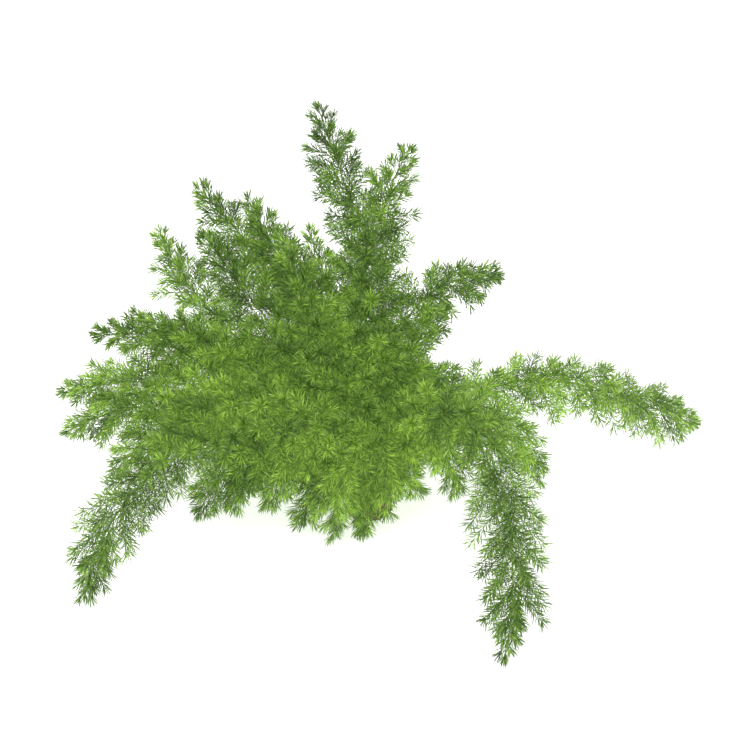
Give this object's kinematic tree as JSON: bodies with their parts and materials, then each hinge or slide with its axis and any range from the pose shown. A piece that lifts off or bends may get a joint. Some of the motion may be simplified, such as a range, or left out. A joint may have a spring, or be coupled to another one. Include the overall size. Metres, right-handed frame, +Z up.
{
  "type": "foxtail fern, open-sprayed asparagus fern",
  "caption": "Evergreen foxtail fern with long arching fronds of fine needles that spread on all sides from a low woody crown.",
  "frame": {"origin": "centre of the crown's flat underside, on the surface that the plant rests on", "axes": "+Z up, +X to the right and +Y away as the picture sees the plant; the longest frond points along +X"},
  "size_m": [1.19, 0.8789, 0.6966],
  "materials": {
    "crown_wood": "dull fibrous bark",
    "frond_green": "soft satin leaf"
  },
  "bodies": {
    "root": {"crown": "crown_wood", "frond_right_arch": "frond_green", "frond_right_hook": "frond_green", "frond_right_short": "frond_green", "frond_right_front": "frond_green", "frond_front_right": "frond_green", "frond_front_high": "frond_green", "frond_front_short": "frond_green", "frond_front_middle": "frond_green", "frond_front_short_left": "frond_green", "frond_left_front_low": "frond_green", "frond_left_front_high": "frond_green", "frond_left_front": "frond_green", "frond_front_left": "frond_green", "frond_left_body": "frond_green", "frond_left_lower": "frond_green", "frond_left_low": "frond_green", "frond_left_high": "frond_green", "frond_left_flat": "frond_green", "frond_left_upper": "frond_green", "frond_left_spike": "frond_green", "frond_left_inner": "frond_green", "frond_back_left": "frond_green", "frond_back_left_inner": "frond_green", "frond_middle": "frond_green", "frond_middle_inner": "frond_green", "frond_top": "frond_green", "frond_top_right": "frond_green", "frond_right_high": "frond_green", "frond_right_middle": "frond_green", "frond_right_back": "frond_green", "frond_back_right": "frond_green", "frond_back": "frond_green", "frond_back_left_low": "frond_green"}
  },
  "joints": []
}
